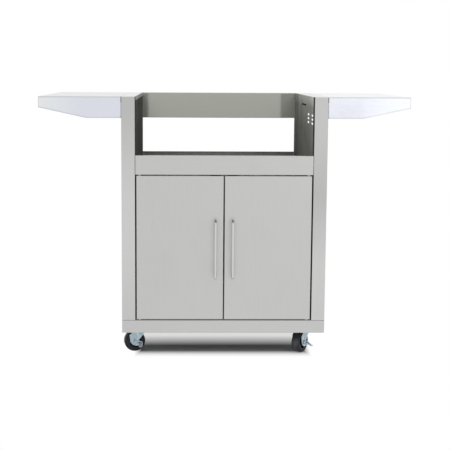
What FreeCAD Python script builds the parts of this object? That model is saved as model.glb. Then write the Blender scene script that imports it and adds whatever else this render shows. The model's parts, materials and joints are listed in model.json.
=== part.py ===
import FreeCAD, Part
import math
import os
import re

import Sketcher

V = FreeCAD.Vector

# An outdoor oven cart: a two-door stainless cabinet with an open bay above the doors for a drop-in
# head, a fold-down shelf on each side, and four braked swivel casters under a hollow base.
# Millimetres and degrees. The wheels stand on Z = 0, the doors face -Y, +X is the viewer's right,
# and X = 0, Y = 0 is the middle of the outline with the door handles counted in.
SIZES = {
    # cabinet
    "body_width": (714, "outside of the posts, left to right"),
    "body_depth": (600, "front of the doors to the back panel"),
    "body_height": (914, "floor to the tops of posts, back rail and shelves"),
    "post_width": (48, "post face seen from the front"),
    "post_depth": (30, "post seen from the side"),
    "sheet": (1.2, "stainless sheet"),
    "bend": (2, "outside radius of a folded edge"),
    "seam": (0.4, "open joint between the front rail and a post"),
    "overcut": (1, "how far a cut runs past the face it opens"),
    "drill": (8, "depth of a drilling through two sheets"),
    # base
    "base_drop": (17, "top of the caster plates down to the base's lower edge"),
    "base_height": (46, "base rails"),
    "base_flange": (64, "top flange of a base rail"),
    "base_lip": (14, "bottom lip of a base rail"),
    "base_sheet": (1.5, "sheet of the base rails"),
    "floor_screw_inset": (12, "edge of a base rail's flange to the floor screws"),
    "gusset_size": (128, "square corner gusset that carries a caster"),
    "gusset_thick": (4, "gusset plate"),
    # side walls
    "vent_length": (45, "vent slot"),
    "vent_height": (7, "vent slot"),
    "vent_inset": (57, "front of the cabinet to the nearer slots' middle"),
    "vent_step": (103, "nearer to farther slots, along the wall"),
    "vent_drop": (94, "top of the wall to the lowest row of slots"),
    "vent_pitch": (14, "row to row"),
    "hook_length": (150, "long slot at the middle of the wall"),
    "hook_height": (7, "long slot"),
    "hook_drop": (35, "top of the wall to the long slot"),
    # rails and back
    "bay_drop": (203, "tops of the posts down to the front rail"),
    "rail_height": (67, "front rail"),
    "rail_flange": (36, "bottom flange of the front rail"),
    "rail_ledge": (10, "top flange of the front rail"),
    "back_drop": (239, "tops of the posts down to the back panel"),
    "back_flange": (16, "folded edge of the back panel"),
    "back_rail_height": (101, "upper back rail"),
    "back_rail_depth": (22, "upper back rail"),
    # doors
    "door_depth": (20, "door thickness"),
    "door_gap": (3.5, "door to post"),
    "door_meeting": (4, "door to door"),
    "door_head": (3.5, "door to front rail"),
    "door_foot": (2.8, "door to base"),
    "liner_flange": (6, "folded edge of the door liner"),
    "nest": (0.1, "slack between nested folded pieces"),
    "pivot_inset": (11, "outer edge of the door to the pivot"),
    "pivot_setback": (8, "face of the door to the pivot"),
    "pin_radius": (3, "door pivot pin"),
    "pin_reach": (8, "pin beyond the door's edge"),
    "pin_root": (22, "pin inside the door"),
    "pin_round": (0.6, "rounded end of the pin"),
    "running_fit": (0.05, "radial clearance of a pin in its hole"),
    "bush_radius": (5, "nylon pivot bush"),
    "bush_rim": (7.5, "radius of the bush's flange"),
    "bush_flange": (0.8, "thickness of the bush's flange"),
    "bush_length": (6, "bush beyond the sheet it sits on"),
    "catch_width": (36, "magnet catch"),
    "catch_depth": (12, "magnet catch"),
    "catch_height": (16, "magnet catch"),
    "catch_edge": (12, "middle of the cabinet to the catch"),
    "strike_thick": (1.5, "strike plate on the door"),
    "strike_air": (0.4, "strike plate to magnet"),
    "strike_margin": (2, "strike plate inside the catch's outline"),
    # handles
    "handle_reach": (40, "face of the door to the outside of the bar"),
    "handle_radius": (4.5, "round bar"),
    "handle_bend": (11, "centre-line radius of the bar's bends"),
    "handle_centres": (198, "leg to leg"),
    "handle_drop": (2.15, "middle of the door down to the middle of the bar"),
    "handle_offset": (30, "middle of the cabinet to the bar"),
    # shelves
    "shelf_length": (283, "post to the shelf's free end"),
    "shelf_gap": (1.5, "shelf to post"),
    "apron_height": (74, "shelf apron next to the cabinet"),
    "apron_end": (38, "shelf apron at the free end"),
    "apron_flat": (119, "level part of the apron's lower edge"),
    "shelf_corner": (8, "rounded lower corner around the pivot"),
    "shelf_lip": (20, "folded edge of the shelf next to the cabinet"),
    "hem_width": (12, "inward hem along the apron's lower edge"),
    "hem_start": (30, "hem kept clear of the hinge bracket"),
    "rib_width": (44, "shelf stiffener"),
    "rib_height": (14, "shelf stiffener"),
    "rib_inset": (95, "post to the first stiffener's middle"),
    "rib_step": (105, "stiffener to stiffener"),
    "stud_radius": (3, "shelf pivot stud"),
    "stud_shoulder": (5.5, "radius of the stud's friction washer and cap"),
    "ear_gap": (1.2, "apron to the hinge bracket's ear"),
    "bracket_thick": (2.5, "hinge bracket plate"),
    "bracket_height": (44, "hinge bracket plate on the post"),
    "bracket_depth": (22, "hinge bracket plate on the post"),
    "stud_end": (4, "stud beyond the bracket's ear"),
    "stud_cap": (2, "cap on the stud's end"),
    # casters
    "caster_inset": (65, "side of the cabinet to a kingpin"),
    "caster_setback": (71, "front or back of the cabinet to a kingpin"),
    "caster_rise": (25, "top of the wheel to the top of the mounting plate"),
    "plate_length": (76, "mounting plate, left to right"),
    "plate_width": (62, "mounting plate, front to back"),
    "plate_thick": (2.5, "mounting plate"),
    "plate_corner": (6, "rounded corner of the mounting plate"),
    "plate_holes_x": (58, "bolt spacing, left to right"),
    "plate_holes_y": (44, "bolt spacing, front to back"),
    "race_radius": (19, "swivel race under the mounting plate"),
    "swivel_gap": (0.4, "race to fork"),
    "kingpin_radius": (5, "kingpin"),
    "trail": (25, "kingpin to axle"),
    "wheel_radius": (37.5, "wheel"),
    "tread_width": (30, "tyre"),
    "tread_drop": (4, "tread down to the tyre's shoulder"),
    "tread_slope": (5, "width of the tyre's sloped shoulder"),
    "rim_radius": (27, "wheel core"),
    "rim_thick": (4, "wheel core's rim"),
    "rim_inset": (1, "side of the tyre to the rim"),
    "hub_radius": (11, "wheel core's hub"),
    "hub_air": (1.5, "hub to the fork's leg"),
    "web_width": (12, "wheel core's disc"),
    "axle_radius": (4, "axle bolt"),
    "fork_air": (2, "tyre to the fork's leg"),
    "fork_thick": (2.2, "fork's sheet"),
    "fork_drop": (11, "top of the mounting plate down to the fork"),
    "fork_half": (17, "half the fork's crown along the trail"),
    "fork_tail": (21, "axle to the widest place of the leg's trailing edge"),
    "fork_shoulder": (24, "axle up to that place"),
    "fork_heel": (18, "axle to the leg's trailing edge at the axle's height"),
    "fork_toe": (11, "axle down to the leg's lower trailing corner"),
    "fork_sole": (15, "axle down to the leg's lower edge"),
    "notch_reach": (11, "axle to the notch in the leg's leading edge"),
    "notch_rise": (3.5, "axle up to the notch"),
    "race_step": (1.5, "fork's race above its crown"),
    "lug_thick": (2.5, "lug that carries the lever's pin"),
    "lug_height": (7, "lug that carries the lever's pin"),
    "lug_air": (0.5, "lug to lever"),
    "window_height": (9, "window in the fork's leg for the brake shoe"),
    "window_margin": (1.5, "end of the lever to the window"),
    "lever_offset": (16, "axle to the middle of the brake lever, along the trail"),
    "lever_width": (12, "brake lever"),
    "lever_drop": (7, "axle down to the lever's pivot"),
    "lever_reach": (22.5, "lever beyond its pivot"),
    "lever_slope": (20, "lever below the level when the brake is on"),
    "lever_thick": (2.2, "brake lever"),
    "toe_round": (5, "rounded corner of the lever's free end"),
    "hole_radius": (1.6, "hole in the lever"),
    "hole_reach": (12.5, "lever's pivot to the hole"),
    "barrel_radius": (2.6, "rolled eye of the lever"),
    "lever_pin": (1.5, "lever pivot"),
    "shoe_width": (5, "brake shoe along the wheel"),
    "shoe_height": (3, "brake shoe"),
    "shoe_air": (0.4, "brake shoe to the wheel core"),
    "front_left_turn": (191.6, "trail direction from +X"),
    "front_right_turn": (234, "trail direction from +X"),
    "rear_left_turn": (262, "trail direction from +X"),
    "rear_right_turn": (284, "trail direction from +X"),
    # fasteners
    "screw_head": (4, "radius of a panel screw's head"),
    "screw_rise": (1.8, "height of a panel screw's head"),
    "screw_shank": (2, "radius of a panel screw's shank"),
    "screw_length": (7, "panel screw under its head"),
    "bolt_head": (5.6, "radius across the corners of a caster bolt's head"),
    "bolt_rise": (4, "height of a caster bolt's head"),
    "bolt_shank": (3, "radius of a caster bolt"),
    "bolt_end": (6, "caster bolt beyond the gusset"),
}

doc = FreeCAD.newDocument("outdoor_oven_cart")
sheet_of_sizes = doc.addObject("Spreadsheet::Sheet", "sizes")
for row, (alias, (value, meaning)) in enumerate(SIZES.items(), start=1):
    sheet_of_sizes.set(f"A{row}", meaning)
    sheet_of_sizes.set(f"B{row}", str(value))
    sheet_of_sizes.setAlias(f"B{row}", alias)
gauge = doc.addObject("App::FeaturePython", "gauge")
gauge.addProperty("App::PropertyFloat", "reading")
doc.recompute()

# Planes that many pieces share.
FRONT = "((handle_reach - body_depth) / 2)"
BACK = "((handle_reach + body_depth) / 2)"
HALF = "(body_width / 2)"
INNER = "(body_width / 2 - post_width)"
BASE_TOP = "(base_bottom + base_height)"
POST_BACK = f"({FRONT} + post_depth)"
REAR_POST = f"({BACK} - post_depth)"
DOOR_LEFT = f"(door_gap - {INNER})"
DOOR_RIGHT = "(0 - door_meeting / 2)"
DOOR_LOW = f"({BASE_TOP} + door_foot)"
DOOR_HIGH = "(rail_bottom - door_head)"
DOOR_BACK = f"({FRONT} + door_depth)"
PIVOT_X = f"({DOOR_LEFT} + pivot_inset)"
PIVOT_Y = f"({FRONT} + pivot_setback)"
SHELF_IN = f"(0 - {HALF} - shelf_gap)"
SHELF_OUT = f"({SHELF_IN} - shelf_length)"
STUD_X = f"({SHELF_IN} - shelf_corner)"
STUD_Z = "(body_height - apron_height + shelf_corner)"
EAR_FRONT = f"({FRONT} + sheet + ear_gap)"
KING_X = f"(caster_inset - {HALF})"
KING_Y = f"({FRONT} + caster_setback)"
LEG_IN = "(fork_inside / 2)"
LEG_OUT = "(fork_inside / 2 + fork_thick)"
LEVER_U = "(trail - lever_offset)"
LEVER_V = f"({LEG_OUT} + barrel_radius + lug_air)"

# Sizes that follow from others.
DERIVED = {
    "caster_top": "wheel_radius * 2 + caster_rise",
    "fork_top": "caster_top - fork_drop",
    "fork_inside": "tread_width + fork_air * 2",
    "hub_width": "fork_inside - hub_air * 2",
    "lever_height": "wheel_radius - lever_drop",
    "base_bottom": "caster_top - base_drop",
    "rail_bottom": "body_height - bay_drop - rail_height",
    "back_top": "body_height - back_drop",
    "handle_middle": f"({DOOR_LOW} + {DOOR_HIGH}) / 2 - handle_drop",
}

TURN = {
    "x": FreeCAD.Rotation(V(0, 1, 0), 90),
    "y": FreeCAD.Rotation(V(1, 0, 0), -90),
    "z": FreeCAD.Rotation(V(0, 0, 1), 0),
}
nodes = []


def bound(text):
    """The expression with every size's name pointed at its cell."""
    def cell(found):
        name = found[0]
        if name in DERIVED:
            return f"({bound(DERIVED[name])})"
        return f"sizes.{name}" if name in SIZES else name

    return re.sub(r"[a-z]\w*", cell, text)


def drive(thing, prop, text):
    thing.setExpression(prop, bound(text))


def put(thing, spot):
    for axis, text in zip("xyz", spot):
        drive(thing, f"Placement.Base.{axis}", text)


def keep(thing, name):
    """Mark a finished piece as a sub-part of the cart."""
    thing.Label = name
    nodes.append(thing)
    return thing


def new_body(name):
    return doc.addObject("PartDesign::Body", name)


def block(body, kind, x_span, y_span, z_span):
    """Add or cut a block between a low and a high limit along each axis."""
    piece = body.newObject(f"PartDesign::{kind}Box", f"{body.Name}_block")
    sides = zip(("Length", "Width", "Height"), "xyz", (x_span, y_span, z_span))
    for prop, axis, (low, high) in sides:
        drive(piece, prop, f"({high}) - ({low})")
        drive(piece, f"Placement.Base.{axis}", low)
    return piece


def rod(body, kind, axis, start, radius, length):
    """Add or cut a round rod that runs along an axis from its starting point."""
    piece = body.newObject(f"PartDesign::{kind}Cylinder", f"{body.Name}_rod")
    piece.Placement = FreeCAD.Placement(V(), TURN[axis])
    drive(piece, "Radius", radius)
    drive(piece, "Height", length)
    put(piece, start)
    return piece


def lies_on(edge, box, side):
    """Whether a whole edge lies on one side of a bounding box, such as '-y'."""
    limit = getattr(box, f"{side[1].upper()}{'Min' if side[0] == '-' else 'Max'}")
    ends = (getattr(edge.BoundBox, f"{side[1].upper()}Min"), getattr(edge.BoundBox, f"{side[1].upper()}Max"))
    return all(abs(end - limit) < 0.001 for end in ends)


def runs(edge, axis):
    """Whether an edge is a straight line along an axis."""
    if not isinstance(edge.Curve, Part.Line):
        return False
    return abs(getattr(edge.Curve.Direction, axis)) > 0.999


def soften(body, radius, sides, along=None):
    """Round the edges that lie on every one of the named sides of the body so far."""
    doc.recompute()
    so_far = body.Tip
    box = so_far.Shape.BoundBox
    chosen = []
    for number, edge in enumerate(so_far.Shape.Edges, start=1):
        if along and not runs(edge, along):
            continue
        if all(lies_on(edge, box, side) for side in sides):
            chosen.append(f"Edge{number}")
    rounding = body.newObject("PartDesign::Fillet", f"{body.Name}_round")
    rounding.Base = (so_far, chosen)
    drive(rounding, "Radius", radius)
    doc.recompute()
    return rounding


def sketch_on(body, plane, offset):
    """An empty sketch on one of the body's own planes, moved along that plane's normal."""
    support = [item for item in body.Origin.OriginFeatures if item.Role == plane][0]
    sketch = body.newObject("Sketcher::SketchObject", f"{body.Name}_sketch")
    sketch.AttachmentSupport = (support, [""])
    sketch.MapMode = "FlatFace"
    drive(sketch, "AttachmentOffset.Base.z", offset)
    return sketch


def size_of(text):
    """The present value of an expression, to draw a sketch near its final shape."""
    drive(gauge, "reading", text)
    gauge.recompute()
    return gauge.reading


def hold(sketch, kind, *where, text):
    """Add a dimension to a sketch and tie it to an expression."""
    number = sketch.addConstraint(Sketcher.Constraint(kind, *where, size_of(text)))
    sketch.setExpression(f"Constraints[{number}]", bound(text))


def outline(body, plane, offset, corners):
    """A closed outline of straight lines through the given corners."""
    sketch = sketch_on(body, plane, offset)
    drawn = [V(size_of(across), size_of(up), 0) for across, up in corners]
    count = len(corners)
    for number in range(count):
        sketch.addGeometry(Part.LineSegment(drawn[number], drawn[(number + 1) % count]), False)
    for number in range(count):
        sketch.addConstraint(Sketcher.Constraint("Coincident", number, 2, (number + 1) % count, 1))
    for number, (across, up) in enumerate(corners):
        hold(sketch, "DistanceX", -1, 1, number, 1, text=across)
        hold(sketch, "DistanceY", -1, 1, number, 1, text=up)
    return sketch


def slot_outline(body, plane, offset, middle, length, height):
    """A long hole with round ends, lying along the sketch's first axis."""
    sketch = sketch_on(body, plane, offset)
    across, up = size_of(middle[0]), size_of(middle[1])
    half, radius = (size_of(length) - size_of(height)) / 2, size_of(height) / 2
    right, left = V(across + half, up, 0), V(across - half, up, 0)
    rise, quarter = V(0, radius, 0), math.pi / 2
    sketch.addGeometry(Part.LineSegment(left + rise, right + rise), False)
    sketch.addGeometry(Part.ArcOfCircle(Part.Circle(right, V(0, 0, 1), radius), -quarter, quarter), False)
    sketch.addGeometry(Part.LineSegment(right - rise, left - rise), False)
    sketch.addGeometry(Part.ArcOfCircle(Part.Circle(left, V(0, 0, 1), radius), quarter, quarter * 3), False)
    for first, first_end, second, second_end in ((0, 2, 1, 2), (1, 1, 2, 1), (2, 2, 3, 2), (3, 1, 0, 1)):
        sketch.addConstraint(Sketcher.Constraint("Tangent", first, first_end, second, second_end))
    sketch.addConstraint(Sketcher.Constraint("Horizontal", 0))
    hold(sketch, "Radius", 1, text=f"({height}) / 2")
    hold(sketch, "DistanceX", -1, 1, 1, 3, text=f"{middle[0]} + (({length}) - ({height})) / 2")
    hold(sketch, "DistanceX", -1, 1, 3, 3, text=f"{middle[0]} - (({length}) - ({height})) / 2")
    hold(sketch, "DistanceY", -1, 1, 1, 3, text=middle[1])
    return sketch


def pad(body, sketch, length, back=False):
    thick = body.newObject("PartDesign::Pad", f"{body.Name}_pad")
    thick.Profile = sketch
    thick.Reversed = back
    drive(thick, "Length", length)
    return thick


def spin(body, sketch):
    """A solid of revolution around the sketch's second axis."""
    turned = body.newObject("PartDesign::Revolution", f"{body.Name}_turned")
    turned.Profile = sketch
    turned.ReferenceAxis = (sketch, ["V_Axis"])
    turned.Angle = 360
    return turned


def mirrored(source, name, axis):
    """The image of a piece across the cart's middle plane along X or Y."""
    image = doc.addObject("Part::Mirroring", name)
    image.Source = source
    image.Normal = V(1, 0, 0) if axis == "x" else V(0, 1, 0)
    if axis == "y":
        drive(image, "Base.y", "handle_reach / 2")
    return image


def together(pieces, name):
    """Several like pieces handled as one sub-part."""
    group = doc.addObject("Part::Compound", name)
    group.Links = pieces
    return group


def both_sides(source, name):
    return together([source, mirrored(source, f"{name}_right", "x")], name)


def four_corners(source, name):
    back = mirrored(source, f"{name}_back", "y")
    right = mirrored(source, f"{name}_right", "x")
    return together([source, right, back, mirrored(back, f"{name}_back_right", "x")], name)


def screw(name, axis, seat, way):
    """A panel screw whose head sits on a sheet at its seat; way is +1 or -1 along the axis to its tip."""
    body = new_body(name)
    spot = {"x": 0, "y": 1, "z": 2}[axis]
    head, tip = list(seat), list(seat)
    if way > 0:
        head[spot] = f"{seat[spot]} - screw_rise"
    else:
        tip[spot] = f"{seat[spot]} - screw_length"
    rod(body, "Additive", axis, head, "screw_head", "screw_rise")
    far = ("-" if way > 0 else "+") + axis
    soften(body, "screw_rise * 0.6", [far])
    rod(body, "Additive", axis, tip, "screw_shank", "screw_length")
    return body


# Base: four hollow rails. The front and rear ones run the full width and have closed ends.
base_front = new_body("base_front_rail")
block(base_front, "Additive", (f"-{HALF}", HALF), (FRONT, f"{FRONT} + base_flange"),
      ("base_bottom", BASE_TOP))
soften(base_front, "bend", ["-y"])
block(base_front, "Subtractive", (f"base_sheet - {HALF}", f"{HALF} - base_sheet"),
      (f"{FRONT} + base_sheet", f"{FRONT} + base_flange + overcut"),
      ("base_bottom + base_sheet", f"{BASE_TOP} - base_sheet"))
block(base_front, "Subtractive", (f"base_sheet - {HALF}", f"{HALF} - base_sheet"),
      (f"{FRONT} + base_lip", f"{FRONT} + base_flange + overcut"),
      ("base_bottom - overcut", "base_bottom + base_sheet"))

base_left = new_body("base_left_rail")
block(base_left, "Additive", (f"-{HALF}", f"base_flange - {HALF}"),
      (f"{FRONT} + base_flange", f"{BACK} - base_flange"), ("base_bottom", BASE_TOP))
soften(base_left, "bend", ["-x"], along="y")
block(base_left, "Subtractive", (f"base_sheet - {HALF}", f"base_flange + overcut - {HALF}"),
      (f"{FRONT} + base_flange - overcut", f"{BACK} - base_flange + overcut"),
      ("base_bottom + base_sheet", f"{BASE_TOP} - base_sheet"))
block(base_left, "Subtractive", (f"base_lip - {HALF}", f"base_flange + overcut - {HALF}"),
      (f"{FRONT} + base_flange - overcut", f"{BACK} - base_flange + overcut"),
      ("base_bottom - overcut", "base_bottom + base_sheet"))

# The lower door bushes sit in the base, so the base and the floor are both drilled for them.
floor = new_body("cabinet_floor")
block(floor, "Additive", (f"nest - {INNER}", f"{INNER} - nest"),
      (f"{FRONT} + bend", f"{BACK} - back_flange - nest"), (BASE_TOP, f"{BASE_TOP} + sheet"))
DRILL_LOW = f"({BASE_TOP} - drill / 2)"
for piece in (base_front, floor):
    for side in (PIVOT_X, f"-{PIVOT_X}"):
        rod(piece, "Subtractive", "z", (side, PIVOT_Y, DRILL_LOW), "bush_radius", "drill")

FLOOR_SCREWS = [(f"{INNER} * {share}", f"({FRONT} + base_flange - floor_screw_inset)")
                for share in (0.25, 0.75)]
for across, along in FLOOR_SCREWS:
    for side in (across, f"-{across}"):
        for piece in (base_front, floor):
            rod(piece, "Subtractive", "z", (side, along, DRILL_LOW), "screw_shank", "drill")
        rear = f"handle_reach - {along}"
        rod(floor, "Subtractive", "z", (side, rear, DRILL_LOW), "screw_shank", "drill")

keep(base_front, "base_front_rail")
keep(mirrored(base_front, "base_rear_rail", "y"), "base_rear_rail")
keep(base_left, "base_left_rail")
keep(mirrored(base_left, "base_right_rail", "x"), "base_right_rail")
keep(floor, "cabinet_floor")

gusset = new_body("corner_gusset")
block(gusset, "Additive", (f"base_sheet - {HALF}", f"base_sheet + gusset_size - {HALF}"),
      (f"{FRONT} + base_sheet", f"{FRONT} + base_sheet + gusset_size"),
      ("caster_top", "caster_top + gusset_thick"))
BOLTS = [(f"{KING_X} + {across} * plate_holes_x / 2", f"{KING_Y} + {along} * plate_holes_y / 2")
         for across in (-1, 1) for along in (-1, 1)]
plate = new_body("caster_top_plate")
block(plate, "Additive", (f"{KING_X} - plate_length / 2", f"{KING_X} + plate_length / 2"),
      (f"{KING_Y} - plate_width / 2", f"{KING_Y} + plate_width / 2"),
      ("caster_top - plate_thick", "caster_top"))
soften(plate, "plate_corner", [], along="z")
rod(plate, "Additive", "z", (KING_X, KING_Y, "fork_top + swivel_gap"), "race_radius",
    "caster_top - plate_thick - fork_top - swivel_gap")
rod(plate, "Subtractive", "z", (KING_X, KING_Y, "fork_top"), "kingpin_radius + running_fit",
    "caster_top - fork_top + overcut")
for piece in (gusset, plate):
    for across, along in BOLTS:
        rod(piece, "Subtractive", "z", (across, along, "caster_top - drill"), "bolt_shank", "drill * 2")
bolts = []
for number, (across, along) in enumerate(BOLTS, start=1):
    bolt = new_body(f"caster_bolt_{number}")
    head = bolt.newObject("PartDesign::AdditivePrism", f"{bolt.Name}_head")
    head.Polygon = 6
    drive(head, "Circumradius", "bolt_head")
    drive(head, "Height", "bolt_rise")
    put(head, (across, along, "caster_top - plate_thick - bolt_rise"))
    rod(bolt, "Additive", "z", (across, along, "caster_top - plate_thick"), "bolt_shank",
        "plate_thick + gusset_thick + bolt_end")
    bolts.append(bolt)
keep(four_corners(gusset, "corner_gussets"), "corner_gussets")
keep(four_corners(plate, "caster_top_plates"), "caster_top_plates")
keep(four_corners(together(bolts, "caster_bolt_set"), "caster_bolts"), "caster_bolts")

# Posts: closed-top tubes. The front ones carry the shelf hinge brackets, and so do the rear ones.
BRACKET_LOW = f"({STUD_Z} - shelf_corner)"
BRACKET_BOLTS = [(f"({EAR_FRONT} + bracket_depth * 0.68)", f"{BRACKET_LOW} + bracket_height * {share}")
                 for share in (0.25, 0.75)]


def post(name, x_span, y_span, bolts_at):
    body = new_body(name)
    block(body, "Additive", x_span, y_span, (BASE_TOP, "body_height"))
    soften(body, "bend", [], along="z")
    soften(body, "bend / 2", ["+z"])
    block(body, "Subtractive", (f"{x_span[0]} + sheet", f"{x_span[1]} - sheet"),
          (f"{y_span[0]} + sheet", f"{y_span[1]} - sheet"),
          (f"{BASE_TOP} - overcut", "body_height - sheet"))
    for along, up in bolts_at:
        rod(body, "Subtractive", "x", (f"{x_span[0]} - overcut", along, up), "screw_shank", "drill / 2")
    return body


front_post = post("front_left_post", (f"-{HALF}", f"-{INNER}"), (FRONT, POST_BACK), BRACKET_BOLTS)
rear_post = post("rear_left_post", (f"-{HALF}", f"-{INNER} - sheet"), (REAR_POST, BACK),
                 [(f"handle_reach - ({along})", up) for along, up in BRACKET_BOLTS])

# Side walls: one sheet at the inner faces of the posts with folded front, top and bottom edges,
# open to the outside, with a group of vent slots near the front and one long slot.
wall = new_body("left_side_panel")
block(wall, "Additive", (f"-{HALF}", f"-{INNER}"), (POST_BACK, BACK), (BASE_TOP, "body_height"))
soften(wall, "bend", ["+x", "+z"])
block(wall, "Subtractive", (f"-{HALF} - overcut", f"-{INNER} - sheet"), (f"{POST_BACK} + sheet", REAR_POST),
      (f"{BASE_TOP} + sheet", "body_height - sheet"))
block(wall, "Subtractive", (f"-{HALF} - overcut", f"-{INNER} - sheet"), (REAR_POST, f"{BACK} + overcut"),
      (f"{BASE_TOP} - overcut", "body_height + overcut"))


def wall_slots(middle, length, height, rows, columns):
    """Cut one slot through the wall and repeat it upwards and towards the back."""
    drawn = slot_outline(wall, "YZ_Plane", f"-{INNER} + overcut", middle, length, height)
    doc.recompute()
    cut = wall.newObject("PartDesign::Pocket", "left_side_panel_slot")
    cut.Profile = drawn
    drive(cut, "Length", "sheet + overcut * 2")
    doc.recompute()
    if rows == 1:
        return
    repeat = wall.newObject("PartDesign::MultiTransform", "left_side_panel_slots")
    upwards = wall.newObject("PartDesign::LinearPattern", "left_side_panel_rows")
    upwards.Direction = (drawn, ["V_Axis"])
    drive(upwards, "Length", f"vent_pitch * {rows - 1}")
    upwards.Occurrences = rows
    backwards = wall.newObject("PartDesign::LinearPattern", "left_side_panel_columns")
    backwards.Direction = (drawn, ["H_Axis"])
    drive(backwards, "Length", f"vent_step * {columns - 1}")
    backwards.Occurrences = columns
    repeat.Originals = [cut]
    repeat.Transformations = [upwards, backwards]
    wall.Tip = repeat
    doc.recompute()


VENT_Z = "(body_height - vent_drop)"
wall_slots((f"({FRONT} + vent_inset)", VENT_Z), "vent_length", "vent_height", 3, 2)
wall_slots(("(handle_reach / 2)", "(body_height - hook_drop)"), "hook_length", "hook_height", 1, 1)

# Back panel: a folded pan, open at the bottom, screwed through its side edges to walls and posts.
back = new_body("back_panel")
block(back, "Additive", (f"-{INNER}", INNER), (f"{BACK} - back_flange", BACK), (BASE_TOP, "back_top"))
soften(back, "bend", ["+y"])
block(back, "Subtractive", (f"sheet - {INNER}", f"{INNER} - sheet"),
      (f"{BACK} - back_flange - overcut", f"{BACK} - sheet"), (f"{BASE_TOP} - overcut", "back_top - sheet"))
BACK_SCREWS = [f"{BASE_TOP} + (back_top - {BASE_TOP}) * {share}" for share in (0.12, 0.5, 0.88)]
BACK_SCREW_Y = f"{BACK} - back_flange * 0.55"
for height in BACK_SCREWS:
    left_spot = (f"-{INNER} - drill / 2", BACK_SCREW_Y, height)
    for piece in (back, wall, rear_post):
        rod(piece, "Subtractive", "x", left_spot, "screw_shank", "drill")
    right_spot = (f"{INNER} - drill / 2", BACK_SCREW_Y, height)
    rod(back, "Subtractive", "x", right_spot, "screw_shank", "drill")

# Rails across the bay: a closed tube at the back, and at the front a folded channel over the doors.
back_rail = new_body("upper_back_rail")
block(back_rail, "Additive", (f"-{INNER}", INNER), (f"{BACK} - back_rail_depth", BACK),
      ("body_height - back_rail_height", "body_height"))
soften(back_rail, "bend", [], along="x")
block(back_rail, "Subtractive", (f"-{INNER} - overcut", f"{INNER} + overcut"),
      (f"{BACK} - back_rail_depth + sheet", f"{BACK} - sheet"),
      ("body_height - back_rail_height + sheet", "body_height - sheet"))

RAIL_TOP = "(rail_bottom + rail_height)"
rail = new_body("front_rail")
block(rail, "Additive", (f"seam - {INNER}", f"{INNER} - seam"), (FRONT, f"{FRONT} + rail_flange"),
      ("rail_bottom", RAIL_TOP))
soften(rail, "bend", ["-y"], along="x")
RAIL_BACK = f"{FRONT} + rail_flange + overcut"
block(rail, "Subtractive", (f"seam + sheet - {INNER}", f"{INNER} - seam - sheet"),
      (f"{FRONT} + sheet", RAIL_BACK), ("rail_bottom + sheet", f"{RAIL_TOP} - sheet"))
block(rail, "Subtractive", (f"-{INNER}", INNER), (f"{FRONT} + rail_ledge", RAIL_BACK),
      (f"{RAIL_TOP} - sheet", f"{RAIL_TOP} + overcut"))
RAIL_SCREWS = [(f"{FRONT} + post_depth * 0.6", f"rail_bottom + rail_height * {share}")
               for share in (0.25, 0.75)]
for along, up in RAIL_SCREWS:
    for piece in (rail, front_post):
        rod(piece, "Subtractive", "x", (f"-{INNER} - drill / 2", along, up), "screw_shank", "drill")
    rod(rail, "Subtractive", "x", (f"{INNER} - drill / 2", along, up), "screw_shank", "drill")
for side in (PIVOT_X, f"-{PIVOT_X}"):
    rod(rail, "Subtractive", "z", (side, PIVOT_Y, "rail_bottom - overcut"), "bush_radius", "drill / 2")

keep(front_post, "front_left_post")
keep(mirrored(front_post, "front_right_post", "x"), "front_right_post")
keep(rear_post, "rear_left_post")
keep(mirrored(rear_post, "rear_right_post", "x"), "rear_right_post")
keep(wall, "left_side_panel")
keep(mirrored(wall, "right_side_panel", "x"), "right_side_panel")
keep(back, "back_panel")
keep(back_rail, "upper_back_rail")
keep(rail, "front_rail")

screws = []
for number, height in enumerate(BACK_SCREWS, start=1):
    screws.append(screw(f"back_screw_{number}", "x", (f"sheet - {INNER}", BACK_SCREW_Y, height), -1))
for number, (along, up) in enumerate(RAIL_SCREWS, start=1):
    screws.append(screw(f"rail_screw_{number}", "x", (f"seam + sheet - {INNER}", along, up), -1))
for number, (across, along) in enumerate(FLOOR_SCREWS, start=1):
    seat = (f"-{across}", along, f"{BASE_TOP} + sheet")
    front_screw = screw(f"floor_screw_{number}", "z", seat, -1)
    screws.append(front_screw)
    screws.append(mirrored(front_screw, f"floor_screw_{number}_back", "y"))
keep(both_sides(together(screws, "left_screws"), "panel_screws"), "panel_screws")

# Door pivots: flanged bushes above and below each door, and a magnet catch under the front rail.


def bush(name, low, rim_low):
    body = new_body(name)
    rod(body, "Additive", "z", (PIVOT_X, PIVOT_Y, low), "bush_radius", "sheet * 2 + bush_length")
    rod(body, "Additive", "z", (PIVOT_X, PIVOT_Y, rim_low), "bush_rim", "bush_flange")
    rod(body, "Subtractive", "z", (PIVOT_X, PIVOT_Y, f"{low} - bush_length"), "pin_radius + running_fit",
        "sheet * 2 + bush_length * 3")
    return body


upper_bush = bush("upper_bush", "rail_bottom", "rail_bottom - bush_flange")
lower_bush = bush("lower_bush", f"{BASE_TOP} - sheet - bush_length", f"{BASE_TOP} + sheet")
keep(both_sides(together([upper_bush, lower_bush], "left_bushes"), "hinge_bushes"), "hinge_bushes")

CATCH_Y = f"({DOOR_BACK} + strike_thick + strike_air)"
catch = new_body("left_catch")
block(catch, "Additive", ("-catch_edge - catch_width", "-catch_edge"), (CATCH_Y, f"{CATCH_Y} + catch_depth"),
      ("rail_bottom - catch_height", "rail_bottom"))
soften(catch, "bend", ["-z"])
keep(both_sides(catch, "door_catches"), "door_catches")

# Doors: an outer pan, a liner nested in its back, a bent-rod handle, pivot pins and a strike plate.
HANDLE_LOW = "(handle_middle - handle_centres / 2)"
HANDLE_HIGH = "(handle_middle + handle_centres / 2)"
BAR_Y = f"({FRONT} - handle_reach + handle_radius)"

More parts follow.
